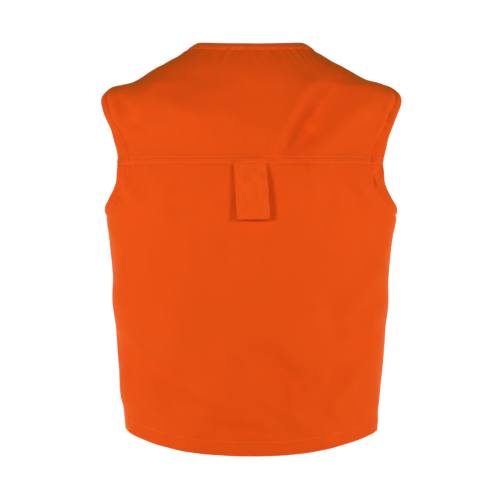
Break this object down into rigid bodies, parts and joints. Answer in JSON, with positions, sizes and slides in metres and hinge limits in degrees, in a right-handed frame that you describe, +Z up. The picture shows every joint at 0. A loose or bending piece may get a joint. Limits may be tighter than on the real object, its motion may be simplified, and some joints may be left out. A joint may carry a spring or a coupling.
{
  "type": "vest",
  "caption": "Sleeveless V-neck vest with a back yoke, hanging tag loop, open-end front zip and two flapped pockets; the fronts open, the flaps lift, the slider slides.",
  "frame": {"origin": "midway between the shoulders, on the shoulder seams' plane and level with the sides of the neck opening", "axes": "+Z up, the front faces -Y, the wearer's left is +X"},
  "size_m": [0.4774, 0.2762, 0.6447],
  "materials": {
    "shell_cloth": "plain-woven polyester in blaze orange, soft matt sheen",
    "trim_cloth": "the same cloth, doubled and topstitched",
    "zip_tape": "woven zip tape",
    "zip_plastic": "moulded acetal teeth and ends",
    "zip_metal": "dark nickel plate",
    "snap_metal": "dark nickel plate",
    "label_cloth": "blank woven label"
  },
  "bodies": {
    "back": {"back_yoke": "shell_cloth", "back_panel": "shell_cloth", "back_neck_band": "trim_cloth", "armhole_facing_back_left": "trim_cloth", "armhole_facing_back_right": "trim_cloth", "hanger_loop": "trim_cloth", "size_label": "label_cloth", "tag_loop_anchor": "trim_cloth"},
    "tag_loop": {"tag_loop": "trim_cloth"},
    "front_left": {"front_panel_left": "shell_cloth", "neck_band_front_left": "trim_cloth", "armhole_facing_front_left": "trim_cloth", "zipper_tape_left": "zip_tape", "zipper_teeth_left": "zip_plastic", "top_stop_left": "zip_plastic", "pocket_bag_left": "shell_cloth", "snap_stud_left": "snap_metal", "retainer_box": "zip_plastic"},
    "flap_left": {"pocket_flap_left": "shell_cloth", "snap_cap_left": "snap_metal"},
    "front_right": {"front_panel_right": "shell_cloth", "neck_band_front_right": "trim_cloth", "armhole_facing_front_right": "trim_cloth", "zipper_tape_right": "zip_tape", "zipper_teeth_right": "zip_plastic", "top_stop_right": "zip_plastic", "pocket_bag_right": "shell_cloth", "snap_stud_right": "snap_metal", "insertion_pin": "zip_plastic", "zipper_placket": "shell_cloth"},
    "flap_right": {"pocket_flap_right": "shell_cloth", "snap_cap_right": "snap_metal"},
    "slider": {"zipper_slider": "zip_metal"},
    "pull": {"zipper_pull": "zip_metal"}
  },
  "joints": [
    {"name": "tag_loop_swing", "type": "hinge", "parent": "back", "child": "tag_loop", "pos_m": [0, 0.1334, -0.1934], "axis": [1, 0, 0], "range_deg": [0, 150]},
    {"name": "left_front_open", "type": "hinge", "parent": "back", "child": "front_left", "pos_m": [0.208, 0, -0.623], "axis": [0.0719, 0, 0.9974], "range_deg": [0, 40]},
    {"name": "right_front_open", "type": "hinge", "parent": "back", "child": "front_right", "pos_m": [-0.208, 0, -0.623], "axis": [0.0719, 0, -0.9974], "range_deg": [0, 40]},
    {"name": "left_flap_lift", "type": "hinge", "parent": "front_left", "child": "flap_left", "pos_m": [0.10051, -0.1166, -0.38702], "axis": [-0.9897, -0.1432, 0], "range_deg": [0, 115]},
    {"name": "right_flap_lift", "type": "hinge", "parent": "front_right", "child": "flap_right", "pos_m": [-0.10051, -0.1166, -0.38702], "axis": [-0.9897, 0.1432, 0], "range_deg": [0, 115]},
    {"name": "zipper_slide", "type": "slide", "parent": "front_left", "child": "slider", "axis": [0, 0, 1], "range_m": [0, 0.438]},
    {"name": "pull_swing", "type": "hinge", "parent": "slider", "child": "pull", "pos_m": [0.0035, -0.1221, -0.6005], "axis": [-1, 0, 0], "range_deg": [0, 170]}
  ]
}
